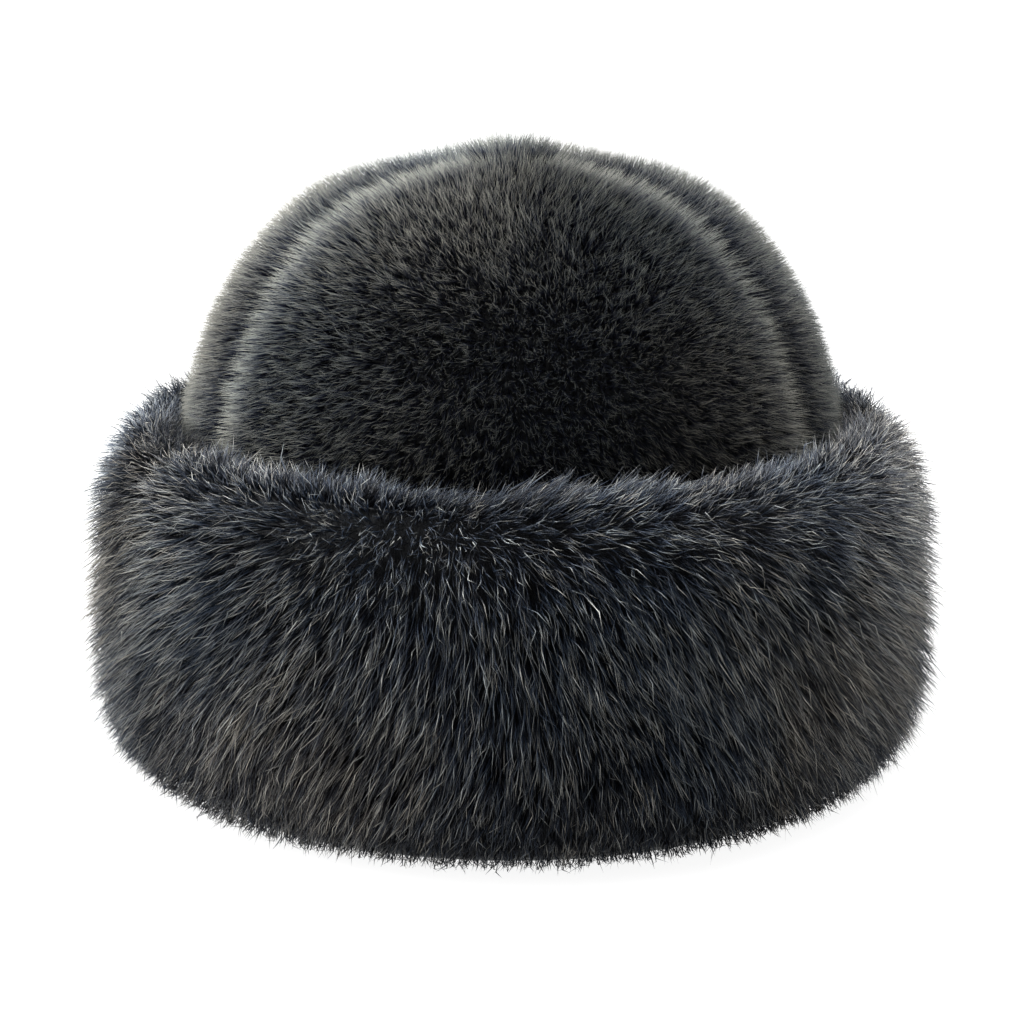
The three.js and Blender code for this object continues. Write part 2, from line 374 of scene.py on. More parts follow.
# %% [markdown]
# ## Fur as a finish
#
# Each hair is coloured dark at its root, as painted shade for the little light that reaches it there, and
# lightest at its tip. That one fact gives fur its look: where the pile points at the eye only the dark depth
# shows, and where it is seen from the side, near each outline, the pale tips add up to grey. So each hair
# carries a flat map of two directions.
# One runs along the hair, from root to tip. The other is the hair's own place in a range of tones, from
# blue-black through charcoal to a brownish grey. The shader is a plain gradient over that map.

# %% Materials
HAIR_MAP = "OFBake"  # the name under which an exporter keeps a map as it is


def fur_material(name, roots, middles, tips, rise, roughness, gloss):
    """Each of roots, middles and tips is a list of hex colours, from the coldest tone to the warmest. rise is
    where along the hair the root's colour ends, the middle's is reached, the tip's begins and is reached."""
    material, tree, shader = new_material(name, Roughness=roughness, Specular_IOR_Level=gloss)
    place = add_node(tree, "ShaderNodeUVMap", {"uv_map": HAIR_MAP})
    split = add_node(tree, "ShaderNodeSeparateXYZ", Vector=place.outputs["UV"])
    tone, along = split.outputs["X"], split.outputs["Y"]
    ramps = []
    for colours in (roots, middles, tips):
        stops = [(step / (len(colours) - 1), colour) for step, colour in enumerate(colours)]
        ramps.append(add_node(tree, "ShaderNodeValToRGB", {"stops": stops}, Fac=tone).outputs["Color"])
    # The dark root colour is painted shade for the depth of the pile, and gives way to the middle's colour
    # between the first two numbers of rise.
    low = add_node(tree, "ShaderNodeMapRange", EASED, Value=along, From_Min=rise[0], From_Max=rise[1])
    high = add_node(tree, "ShaderNodeMapRange", EASED, Value=along, From_Min=rise[2], From_Max=rise[3])
    colour = {"data_type": "RGBA"}
    body = add_node(tree, "ShaderNodeMix", colour, _0=low.outputs["Result"], _6=ramps[0], _7=ramps[1])
    lower = body.outputs[2]
    whole = add_node(tree, "ShaderNodeMix", colour, _0=high.outputs["Result"], _6=lower, _7=ramps[2])
    tree.links.new(whole.outputs[2], shader.inputs["Base Color"])
    return material


# Dyed and sheared fibre, which is matt: the eye gets near-black depth, and olive grey where many tips add
# up.
SHORT_FUR = fur_material(
    "short pile of dyed fur",
    ["#020614", "#040816", "#070911"],
    ["#151B29", "#1C2029", "#232323"],
    ["#5B605E", "#666761", "#6D6B64"],
    (0.35, 0.65, 0.5, 0.88),
    roughness=0.8,
    gloss=0.1,
)
# Unsheared fibre, whose smooth scales have a soft gloss: blue-black depth, and fine charcoal to brownish
# streaks.
LONG_FUR = fur_material(
    "long silky pile of dyed fur",
    ["#03060E", "#050810", "#080709"],
    ["#13253A", "#1C2532", "#2A2726"],
    ["#767D80", "#868783", "#928D83"],
    (0.25, 0.65, 0.5, 0.95),
    roughness=0.5,
    gloss=0.2,
)
print("materials", [m.name for m in bpy.data.materials])


# %% The materials of the skins
COURSE = 3.2 * MM  # of two rows of stitches
WAVE_RATE = 20  # a wave texture turns by this many radians for each unit
MOTTLE = 2 * MM


def underfur_material(name, deep, light, streak_mm, haze):
    """The dense wool at the foot of the hairs: dark, with fine streaks, and hazy where it is seen from the
    side. The haze is sheen, which is what a cloud of fine fibres gives the eye."""
    material, tree, shader = new_material(name, Roughness=0.9, Specular_IOR_Level=0.2)
    shader.inputs["Sheen Weight"].default_value = 1.0
    shader.inputs["Sheen Roughness"].default_value = 0.35
    shader.inputs["Sheen Tint"].default_value = linear(haze)
    place = add_node(tree, "ShaderNodeTexCoord")
    stretch = add_node(tree, "ShaderNodeMapping", Vector=place.outputs["Object"], Scale=(1, 1, 0.25))
    streaks = add_node(
        tree, "ShaderNodeTexNoise", Vector=stretch.outputs["Vector"], Scale=1 / (streak_mm * MM), Detail=3.0
    )
    stops = {"stops": [(0.35, deep), (0.7, light)]}
    ramp = add_node(tree, "ShaderNodeValToRGB", stops, Fac=streaks.outputs["Fac"])
    tree.links.new(ramp.outputs["Color"], shader.inputs["Base Color"])
    bump = add_node(tree, "ShaderNodeBump", Height=streaks.outputs["Fac"], Strength=0.8, Distance=1 * MM)
    tree.links.new(bump.outputs["Normal"], shader.inputs["Normal"])
    return material


def backing_material():
    """Knitted polyester cloth that the pile is bound into, seen only inside the crown and under the cuff. It
    is dull and dark, with rows of stitches drawn twice as coarse as real ones so that they show."""
    material, tree, shader = new_material("knitted fur backing", Roughness=0.85, Specular_IOR_Level=0.3)
    place = add_node(tree, "ShaderNodeTexCoord")
    spot = place.outputs["Object"]
    rows = 2 * math.pi / (WAVE_RATE * COURSE)
    upright = {"bands_direction": "Z"}
    courses = add_node(tree, "ShaderNodeTexWave", upright, Vector=spot, Scale=rows, Distortion=2.0)
    courses.inputs["Detail"].default_value = 1.0
    mottle = add_node(tree, "ShaderNodeTexNoise", Vector=spot, Scale=1 / MOTTLE, Detail=2.0)
    times = {"operation": "MULTIPLY"}
    both = add_node(tree, "ShaderNodeMath", times, _0=courses.outputs["Fac"], _1=mottle.outputs["Fac"])
    stops = {"stops": [(0.0, "#121317"), (0.6, "#25272C")]}
    ramp = add_node(tree, "ShaderNodeValToRGB", stops, Fac=both.outputs["Value"])
    tree.links.new(ramp.outputs["Color"], shader.inputs["Base Color"])
    bump = add_node(tree, "ShaderNodeBump", Height=both.outputs["Value"], Strength=0.6, Distance=0.4 * MM)
    tree.links.new(bump.outputs["Normal"], shader.inputs["Normal"])
    return material


CROWN_UNDERFUR = underfur_material("underfur of the crown", "#040507", "#15181C", 1.2, "#B5B6AC")
CUFF_UNDERFUR = underfur_material("underfur of the cuff", "#030406", "#14161A", 1.6, "#A6A8A8")
BACKING = backing_material()
print("skins of", CROWN_UNDERFUR.name, "and", CUFF_UNDERFUR.name, "on", BACKING.name)

# %% [markdown]
# ## The skins
#
# Each gore is a curved wall of cloth with dense wool on its outside. It is drawn as its section, point by
# point with extrude, and spun from one seam to the other, as a paper pattern is laid round a block. The
# oval plan comes from one stretch along Y. The cuff's skin is the same: a closed section of the turned-up
# band, spun all round.

# %% Spin a closed section into a skin
CROWN_SKIN = 11.2 * MM  # from the hollow to the top of the dense wool
CUFF_SKIN_SHARES = [0, 0.1, 0.22, 0.42, 0.7, 0.84, 0.93, 1]  # of the cuff's line from the crown to the foot
CUFF_SKIN_DEPTHS = [6, 9, 12, 18, 18, 8, 2, 0]  # mm from the cuff's outline in to its wool there
SPIN_STEP = 3  # degrees
SHARPEST_BEND = 50  # degrees, and a bend past it shows as an edge
OVAL_STRETCH = 1.043  # of the plan along Y, where the hollow has 1.044 and the inside of the cuff 1.042
WELD = 0.01 * MM


def select_slice(mesh, azimuth):
    """Selects the points and edges in the upright plane at an azimuth."""
    across = Vector((math.cos(math.radians(azimuth)), math.sin(math.radians(azimuth)), 0))
    bpy.ops.mesh.select_all(action="DESELECT")
    bpy.ops.object.mode_set(mode="OBJECT")
    for vertex in mesh.vertices:
        vertex.select = abs(vertex.co.dot(across)) < 2 * WELD
    for edge in mesh.edges:
        edge.select = all(mesh.vertices[corner].select for corner in edge.vertices)
    bpy.ops.object.mode_set(mode="EDIT")


def spin_skin(name, section, start, span):
    """section is a closed loop of (outwards from the axis, up), in order round the wall."""
    bpy.ops.object.select_all(action="DESELECT")
    bpy.ops.mesh.primitive_plane_add(size=1 * MM)
    skin = bpy.context.object
    skin.name = skin.data.name = name
    turn = Vector((math.sin(math.radians(start)), -math.cos(math.radians(start)), 0))
    spots = [turn * float(out) + Vector((0, 0, float(up))) for out, up in section]
    bpy.ops.object.mode_set(mode="EDIT")
    bpy.ops.mesh.select_mode(type="VERT")
    bpy.ops.mesh.select_all(action="SELECT")
    bpy.ops.mesh.merge(type="CENTER")
    bpy.ops.transform.translate(value=spots[0])
    for before, after in zip(spots, spots[1:] + spots[:1]):
        bpy.ops.mesh.extrude_region_move(TRANSFORM_OT_translate={"value": after - before})
    bpy.ops.mesh.select_all(action="SELECT")
    bpy.ops.mesh.remove_doubles(threshold=WELD)
    bpy.ops.mesh.select_all(action="SELECT")
    steps = round(span / SPIN_STEP)
    bpy.ops.mesh.spin(steps=steps, angle=math.radians(span), center=(0, 0, 0), axis=(0, 0, -1))
    bpy.ops.mesh.select_all(action="SELECT")
    bpy.ops.mesh.remove_doubles(threshold=WELD)
    if span < 360:
        for azimuth in (start, start + span):
            select_slice(skin.data, azimuth)
            bpy.ops.mesh.edge_face_add()
    bpy.ops.mesh.select_all(action="SELECT")
    bpy.ops.transform.resize(value=(1, OVAL_STRETCH, 1), center_override=(0, 0, 0))
    bpy.ops.mesh.normals_make_consistent(inside=False)
    bpy.ops.object.mode_set(mode="OBJECT")
    bpy.ops.object.shade_smooth_by_angle(angle=math.radians(SHARPEST_BEND))
    return skin


print("a gore is spun in", round(2 * SEAM_AZIMUTH / SPIN_STEP), "steps at most")

# %% The sections of the two furs
WOOL_ROWS, TUCKED_ROWS, INSIDE_ROWS = 30, 4, 40
TUCK = 8 * MM  # the stretch in which the crown's wool thins to what is tucked into the cuff
CUFF_WOOL_ROWS = 36
CUFF_WOOL_START = 0.05  # of the cuff's line
LEAST_CUFF_WALL = 3 * MM
FOOT_LIFT = 1.5 * MM  # from the floor to the skin, which the pressed hair fills
CUFF_WALL_HEIGHTS = [45 * MM, 80 * MM]


def skin_points(line, distances, thickness):
    """Points outwards from the axis and up, which lie a thickness outside a line."""
    share, out, up, facing = line.at(distances)
    outwards = HEAD_HALF_WIDTH * share + out + thickness * facing[:, 0]
    return np.stack([outwards, up + thickness * facing[:, 1]], 1)


def cuff_skin_depth(distance):
    return np.interp(distance / CUFF.length, CUFF_SKIN_SHARES, CUFF_SKIN_DEPTHS) * MM


def crown_section():
    wool = skin_points(HOLLOW, np.linspace(0, EXPOSED, WOOL_ROWS), CROWN_SKIN)
    wool[0, 0] = 0
    tucked = skin_points(HOLLOW, np.linspace(EXPOSED + TUCK, HOLLOW.length, TUCKED_ROWS), TUCKED)
    inside = skin_points(HOLLOW, np.linspace(HOLLOW.length, 0, INSIDE_ROWS), 0)
    inside[-1, 0] = 0
    return np.concatenate([wool, tucked, inside])


def cuff_section():
    inside = HEAD_HALF_WIDTH + TUCKED + CUFF_CLEARANCE
    distances = np.linspace(CUFF_WOOL_START, 1, CUFF_WOOL_ROWS) * CUFF.length
    wool = skin_points(CUFF, distances, -cuff_skin_depth(distances))
    wool[:, 0] = wool[:, 0].clip(inside + LEAST_CUFF_WALL)
    wool[:, 1] = wool[:, 1].clip(FOOT_LIFT)
    wall = [(inside, height) for height in [FOOT_LIFT, *CUFF_WALL_HEIGHTS]]
    return np.concatenate([wool, wall])


print("section of a gore", len(crown_section()), "points, of the cuff", len(cuff_section()))

# %% The gores and their seams
SEAM_DIP = 4.5 * MM
SEAM_REACH = 8.5 * MM
TUFT_REACH = 11 * MM
GORES = {
    "crown_front": (-SEAM_AZIMUTH, SEAM_AZIMUTH),
    "crown_right": (SEAM_AZIMUTH, 180 - SEAM_AZIMUTH),
    "crown_back": (180 - SEAM_AZIMUTH, 180 + SEAM_AZIMUTH),
    "crown_left": (180 + SEAM_AZIMUTH, 360 - SEAM_AZIMUTH),
}


def gore_shift(start, end):
    """How far a gore stands out from the axis, which opens its seams."""
    middle = math.radians((start + end) / 2)
    return Vector((math.sin(middle), -math.cos(middle), 0)) * SEAM_SHIFT[end - start]


def dress_skin(skin, wool):
    """Wool outside, and the bare back of the cloth on the faces that look at the hollow."""
    skin.data.materials.append(wool)
    skin.data.materials.append(BACKING)
    for face in skin.data.polygons:
        outwards = face.center - Vector((0, 0, WALL_HEIGHT))
        face.material_index = int(face.normal.dot(outwards) < 0)
    return skin


def seam_nearness(azimuth, start, end, girth):
    """1 at the seams of a gore, and falling off within a few millimetres."""
    to_seam = np.radians(np.minimum(azimuth - start, end - azimuth)) * girth
    return np.exp(-((to_seam / SEAM_REACH) ** 2))


def press_seams(skin, start, end):
    """Presses the wool in beside the seams, towards the middle of the hat."""
    middle = (start + end) / 2
    for vertex in skin.data.vertices:
        centre = Vector((0, 0, min(vertex.co.z, WALL_HEIGHT)))
        out = vertex.co - centre
        girth = math.hypot(vertex.co.x, vertex.co.y / OVAL_STRETCH)
        if girth < TUFT_REACH or out.length < HEAD_HALF_DEPTH + CROWN_BACKING:
            continue
        turn = math.degrees(math.atan2(vertex.co.x, -vertex.co.y / OVAL_STRETCH))
        azimuth = middle + (turn - middle + 180) % 360 - 180
        vertex.co -= out.normalized() * float(SEAM_DIP * seam_nearness(azimuth, start, end, girth))


print("gores", {node: end - start for node, (start, end) in GORES.items()}, "degrees")

# %% The skins of four gores and the cuff
skins = {}
for node, (start, end) in GORES.items():
    skins[node] = dress_skin(spin_skin(node + "_skin", crown_section(), start, end - start), CROWN_UNDERFUR)
    press_seams(skins[node], start, end)
    skins[node].data.transform(Matrix.Translation(gore_shift(start, end)))
skins["cuff"] = dress_skin(spin_skin("cuff_skin", cuff_section(), 0, 360), CUFF_UNDERFUR)
for node, skin in skins.items():
    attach(skin, "root")
    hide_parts(node)
    spots = np.array([vertex.co for vertex in skin.data.vertices]) / MM
    print(skin.name, len(skin.data.polygons), "faces, mm", spots.min(0).round(1), "to", spots.max(0).round(1))

# %% [markdown]
# ## One hair
#
# A particle system would give hair curves, which are lost when a model leaves Blender. These hairs are
# meshes, all made at once from arrays of numbers, because an operator for each would take hours. A hair of
# the short pile is a straight cone, a long hair is a spindle with a sharp root and tip that is thickest
# where it bends, and a guard hair has one bend more, so that it waves. A real hair is a tenth as thick, but
# one that thin is lost between the picture's points, so fewer and thicker ones stand for the real number.

# %% Needles from arrays
SIDES = 3
MAP_STRIP = 0.012  # how wide a hair lies on its map


def unit(vectors):
    return vectors / np.linalg.norm(vectors, axis=-1, keepdims=True).clip(1e-9)


def needle_faces(rings, sharp_root):
    """The triangles of one closed hair: its root, the walls between its rings and its tip."""
    first = 1 if sharp_root else 0
    pairs = [(k, (k + 1) % SIDES) for k in range(SIDES)]
    faces = [(0, first + b, first + a) for a, b in pairs] if sharp_root else [(0, 2, 1)]
    for low in range(first, first + SIDES * (rings - 1), SIDES):
        for a, b in pairs:
            faces += [(low + a, low + b, low + b + SIDES), (low + a, low + b + SIDES, low + a + SIDES)]
    top = first + SIDES * (rings - 1)
    return np.array(faces + [(top + a, top + b, top + SIDES) for a, b in pairs])


def needles(name, spine, radius, tone, tip_light, material):
    """spine is (hairs, points, 3), from root to tip: two points make a cone, and more a spindle with a ring
    at each point between. tone places a hair from cold to warm on its map, and tip_light sets how far up it
    the hair's tip lies."""
    hairs, points = spine.shape[:2]
    sharp_root = points > 2
    rings = max(points - 2, 1)
    along = unit(spine[:, -1] - spine[:, 0])
    reference = np.where(np.abs(along[:, 2:]) < 0.9, [[0, 0, 1.0]], [[1.0, 0, 0]])
    across = unit(np.cross(along, reference))
    beside = np.cross(along, across)
    turns = 2 * math.pi * np.arange(SIDES) / SIDES
    spokes = [(math.cos(t) * across + math.sin(t) * beside) * radius[:, None] for t in turns]
    walls = [spine[:, -1 - rings + ring] + spoke for ring in range(rings) for spoke in spokes]
    root = [spine[:, 0]] if sharp_root else []
    spots = np.stack(root + walls + [spine[:, -1]], 1)
    count = spots.shape[1]
    faces = needle_faces(rings, sharp_root)
    corners = (np.arange(hairs)[:, None, None] * count + faces[None]).astype(np.int32)
    mesh = bpy.data.meshes.new(name)
    mesh.vertices.add(hairs * count)
    mesh.vertices.foreach_set("co", spots.astype(np.float32).ravel())
    mesh.loops.add(corners.size)
    mesh.loops.foreach_set("vertex_index", corners.ravel())
    total = corners.size // 3
    mesh.polygons.add(total)
    mesh.polygons.foreach_set("loop_start", np.arange(total, dtype=np.int32) * 3)
    mesh.polygons.foreach_set("use_smooth", np.ones(total, bool))
    mesh.update(calc_edges=True)
    strip = (np.arange(SIDES) / (SIDES - 1) - 0.5) * MAP_STRIP
    levels = (np.arange(rings) + int(sharp_root)) / (points - 1)
    across_map = np.concatenate([[0] * len(root), np.tile(strip, rings), [0]])
    along_map = np.concatenate([[0] * len(root), np.repeat(levels, SIDES), [1]])
    u = (tone[:, None] + across_map[None])[:, faces.ravel()]
    v = (tip_light[:, None] * along_map[None])[:, faces.ravel()]
    layer = mesh.uv_layers.new(name=HAIR_MAP)
    layer.uv.foreach_set("vector", np.stack([u, v], -1).astype(np.float32).ravel())
    mesh.materials.append(material)
    piece = bpy.data.objects.new(name, mesh)
    bpy.context.scene.collection.objects.link(piece)
    return piece


kinds = {"short hair": (1, False), "long hair": (1, True), "guard hair": (2, True)}
print("triangles", {kind: len(needle_faces(*shape)) for kind, shape in kinds.items()})

# %% [markdown]
# ## How the hairs stand
#
# Combed at random, hair looks like a brush. Real fur gathers: a few hairs share one point as a wisp, and
# wisps lean together into locks with dark gaps between them. So only the wisps are strewn over the skin.
# The hairs of a wisp stand round its root and meet near its tip, and each wisp's tip is drawn towards the
# middle of its lock.

# %% Strew wisps
rng = np.random.default_rng(11)
UP = np.array([[0, 0, 1.0]])
EVEN_STEPS = np.array([[0.7548776662], [0.5698402910]])  # steps that never line up, for an even scatter
STREW_ROWS = 400


def strew(line, count, azimuths, distances):
    """Evenly strewn places on a line carried round the oval: azimuths in degrees, and distances down it."""
    tries = np.linspace(*distances, STREW_ROWS)
    share, out, _, _ = line.at(tries)
    girth = (MEAN_HALF * share + out).clip(2 * MM)
    reached = np.concatenate([[0], np.cumsum((girth[1:] + girth[:-1]) / 2)])
    jitter = rng.uniform(-0.5, 0.5, (2, count)) / math.sqrt(count)
    down, around = (np.arange(count) * EVEN_STEPS + jitter) % 1
    distance = np.interp(down, reached / reached[-1], tries)
    return azimuths[0] + around * (azimuths[1] - azimuths[0]), distance


class Stand:
    """Where wisps stand: for each, its root, the way out of the skin, the way down it and the way round."""

    def __init__(self, line, azimuth, distance, thickness):
        share, out, up, facing = line.at(distance)
        self.azimuth, self.distance = azimuth, distance
        turn = np.radians(azimuth)
        radial = np.stack([np.sin(turn), -np.cos(turn), np.zeros(len(turn))], 1)
        self.girth = MEAN_HALF * share + out
        self.root = on_oval(azimuth, share, out + thickness * facing[:, 0], up + thickness * facing[:, 1])
        self.outwards = radial * facing[:, :1] + UP * facing[:, 1:]
        self.down = radial * facing[:, 1:] - UP * facing[:, :1]
        self.round = np.stack([np.cos(turn), np.sin(turn), np.zeros(len(turn))], 1)

    def leaning(self, down, around):
        """Directions out of the skin, leant down it and round it by these shares."""
        return unit(self.outwards + down[:, None] * self.down + around[:, None] * self.round)


print("from each wisp to the next", EVEN_STEPS.ravel().round(3), "of the way down and round")


# %% Gather them into locks, and let slow noise part them
WAVES = 12


def locks_of(roots, count):
    """Numbers the locks: each wisp belongs to the nearest of some wisps that are picked at random."""
    centres = roots[rng.choice(len(roots), count, replace=False)]
    tree = kdtree.KDTree(count)
    for number, centre in enumerate(centres):
        tree.insert(centre, number)
    tree.balance()
    return np.array([tree.find(root)[1] for root in roots])


def gathered(tips, lock, pull):
    """Tips drawn towards the middle of the tips of their lock."""
    sizes = np.bincount(lock)[:, None].clip(1)
    middles = np.stack([np.bincount(lock, tips[:, axis]) for axis in range(3)], 1) / sizes
    return tips + (middles[lock] - tips) * pull


def drift(points, size, seed):
    """Slow noise from -1 to 1 over the points, with patches about size across: a sum of waves every way."""
    waves = np.random.default_rng(seed).normal(size=(WAVES, 3))
    phases = np.random.default_rng(seed + 1).uniform(0, 2 * math.pi, WAVES)
    return (np.sin(points @ waves.T / size * 2 + phases).sum(1) / (WAVES / 3)).clip(-1, 1)


def normal(count, spread):
    return rng.normal(0, spread, count)


print("slow noise at the hat's middle", drift(np.zeros((1, 3)), MM, 1).round(2))

# %% [markdown]
# ## The crown's pile
#
# The short pile stands almost straight out of the cloth, so in the middle of the crown the eye looks down
# into it and sees dark grain, and near the outline it sees the hairs from the side. Each seam pulls the
# pile down into a furrow, where the hairs of the front and back gores lean over those of the sides.

# %% How much hair the crown has, and how it grows
CROWN_WISPS_PER_DEGREE, CROWN_LOCKS_PER_DEGREE, CROWN_WISP_HAIRS = 122, 22, 2
CROWN_HAIR_RADIUS = 0.2 * MM
SUNK = 1 * MM  # the roots lie this deep in the wool
PROUD = 2 * MM  # how far the longest tips stand out of the dense pile
SHOULDER = 1.8 * MM  # how much more the pile stands up halfway down the dome
SHOULDER_PLACE, SHOULDER_SPAN = 0.42, 0.16  # of the way down the dome that shows
CROWN_LEAN = 0.3  # down the dome
CROWN_LEAN_SPREADS = (0.21, 0.23)  # by which each wisp strays from that, down the dome and round it
CURL, CURL_LEAN = 3 * MM, 0.17  # the size of the small tufts that lean one way, and how far they lean
BRUSHED, BRUSHED_LEAN = 30 * MM, 0.15  # the same of the broad strokes of a brush
SEAM_LEANS = {True: 0.9, False: -0.2}  # how far hair leans over a seam, from a wide gore or a narrow one
SEAM_DIPS = {True: 1, False: 1.4}  # how far the tips of either gore dip there, as a share of SEAM_DIP
CROWN_LENGTHS, CROWN_CUTS = (1.02, 1.15), (0.86, 1.0)  # of a wisp, and of each hair in it
CROWN_PULL = 0.06
WISP_SPREAD, TIP_SPREAD, TIP_SCATTER = 0.6 * MM, 0.7, 0.5 * MM
print("hairs on the crown", 360 * CROWN_WISPS_PER_DEGREE * CROWN_WISP_HAIRS)

# %% The tones of the hair
TONE_PATCH = 45 * MM  # the size of a patch of one tone
HAIR_TONES = (0.02, 0.98)  # tones stay inside the map
CROWN_TONE_DRIFT, CROWN_LOCK_TONE, CROWN_HAIR_TONE = 0.3, 0.05, 0.1
CROWN_LIGHT, CROWN_LOCK_LIGHT, CROWN_HAIR_LIGHT = 0.92, 0.8, 0.06  # how far up its map a tip lies
# Painted light and shade beside the seams: the wide gores' tips are coloured paler there, as a painted
# highlight, and the narrow gores' tips darker, as painted shade in the furrow.
SEAM_PAINTED_LIGHT_AND_SHADE = {True: 0.15, False: -0.3}
CROWN_LIGHTS = (0.4, 1.25)
print("tips lie between", CROWN_LIGHTS, "of the length of the map")


# %% Pile for the gores
def crown_pile(node, start, end, material):
    span = end - start
    azimuth, distance = strew(HOLLOW, CROWN_WISPS_PER_DEGREE * span, (start, end), (0, EXPOSED + 4 * MM))
    wisps = len(azimuth)
    seam = seam_nearness(azimuth, start, end, distance.clip(0, MEAN_HALF)) * (distance > TUFT_REACH)
    root_height = CROWN_SKIN - SUNK - SEAM_DIP * seam
    stand = Stand(HOLLOW, azimuth, distance, root_height)
    wide = span > 90
    over_seam = np.where(azimuth < (start + end) / 2, -1, 1) * seam * SEAM_LEANS[wide]
    dip = seam * SEAM_DIP * SEAM_DIPS[wide]
    tuft = APEX_TUFT * np.exp(-((distance / TUFT_REACH) ** 2))
    shoulder = SHOULDER * np.exp(-(((distance / EXPOSED - SHOULDER_PLACE) / SHOULDER_SPAN) ** 2))
    height = CROWN_THICKNESS + PROUD - root_height - dip + tuft + shoulder
    strokes = [
        CURL_LEAN * drift(stand.root, CURL, small) + BRUSHED_LEAN * drift(stand.root, BRUSHED, broad)
        for small, broad in ((9, 5), (11, 7))
    ]
    down = CROWN_LEAN + normal(wisps, CROWN_LEAN_SPREADS[0]) + strokes[0]
    around = normal(wisps, CROWN_LEAN_SPREADS[1]) + strokes[1] + over_seam
    direction = stand.leaning(down, around)
    length = height * rng.uniform(*CROWN_LENGTHS, wisps) / (direction * stand.outwards).sum(1)
    lock = locks_of(stand.root, CROWN_LOCKS_PER_DEGREE * span)
    tips = gathered(stand.root + direction * length[:, None], lock, CROWN_PULL)
    spread = rng.normal(0, WISP_SPREAD, (CROWN_WISP_HAIRS, wisps, 3))
    roots = (stand.root + spread).reshape(-1, 3)
    ends = (tips + TIP_SPREAD * spread + rng.normal(0, TIP_SCATTER, spread.shape)).reshape(-1, 3)
    ends = roots + (ends - roots) * rng.uniform(*CROWN_CUTS, len(roots))[:, None]
    roots += gore_shift(start, end)
    ends += gore_shift(start, end)
    lock_tone = normal(lock.max() + 1, CROWN_LOCK_TONE)[lock]
    tone = np.tile(0.5 + CROWN_TONE_DRIFT * drift(stand.root, TONE_PATCH, 21) + lock_tone, CROWN_WISP_HAIRS)
    tone = (tone + normal(len(roots), CROWN_HAIR_TONE)).clip(*HAIR_TONES)
    # The paler and darker tips at the seams are a painted highlight and painted shade.
    light = np.tile(CROWN_LIGHT + CROWN_LOCK_LIGHT * lock_tone + SEAM_PAINTED_LIGHT_AND_SHADE[wide] * seam, CROWN_WISP_HAIRS)
    light = (light + normal(len(roots), CROWN_HAIR_LIGHT)).clip(*CROWN_LIGHTS)
    radius = CROWN_HAIR_RADIUS * rng.uniform(0.75, 1.25, len(roots))
    return needles(node + "_pile", np.stack([roots, ends], 1), radius, tone, light, material)


piles = {node: crown_pile(node, start, end, SHORT_FUR) for node, (start, end) in GORES.items()}
for node, pile in piles.items():
    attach(pile, "root")
    print(pile.name, len(pile.data.polygons), "triangles")

# %% [markdown]
# ## The cuff's pile
#
# Long hair can't stand straight: it leaves the cloth outwards and bends down under its weight. Along the
# ridge it stands up instead, brushed sideways round the hat, and at the foot the surface that the hat
# stands on bends it outwards. Slow noise over the skin turns and lengthens whole patches of it, as a hand
# does that strokes it.

# %% The way the cuff's hair grows
FLOOR_GAP, FLOOR_SCATTER = 0.5 * MM, 1.5 * MM
CUFF_LEAN_SHARES = [0, 0.08, 0.16, 0.26, 0.45, 0.7, 0.85, 1]  # of the cuff's line from the crown to the foot
CUFF_LEANS = [0.9, -0.25, 0.1, 0.5, 0.6, 0.5, 0.1, -0.7]  # how far the hair leans down the skin there
CUFF_DROOP = 0.3
DROOP_SHARES = [0, 0.2, 0.4, 0.8, 1]
DROOPS = [0, 0.2, 1, 1, 0]
RIDGE_REACH = 0.14  # of the cuff's line
RIDGE_SWIRL = 0.75  # the ridge's hair is brushed round the hat
STRAY_SHARES, STRAYING = [0.2, 0.6], [1.3, 0.75]  # hair lies less orderly near the ridge
STROKE = 40 * MM  # the size of the patches that a hand has stroked one way
STROKE_DOWN, STROKE_ROUND, STROKE_RIDGE = 0.18, 0.35, 0.4  # how far: down, round, and more at the ridge
SHOULDER_SHARE, SHOULDER_REACH = 0.25, 0.1  # where on the line the cuff turns from its top to its side
SHOULDER_FULLER = 0.12
RIDGE_FULLER = 0.05
TUFT, TUFT_FULLER, RIDGE_TUFTS = 9 * MM, 0.1, 0.16  # the size of tufts, and how much longer they are
# Painted shade: the cuff's hair is coloured darker towards the foot, where less light reaches it from below.
FOOT_PAINTED_SHADE_SHARES = [0.4, 0.85]
FOOT_PAINTED_SHADE = 0.16
FOOT_SHARES = [0.75, 0.9]
FOOT_REACH = 1.5 * MM  # how much longer the hair at the foot is, which the floor bends outwards


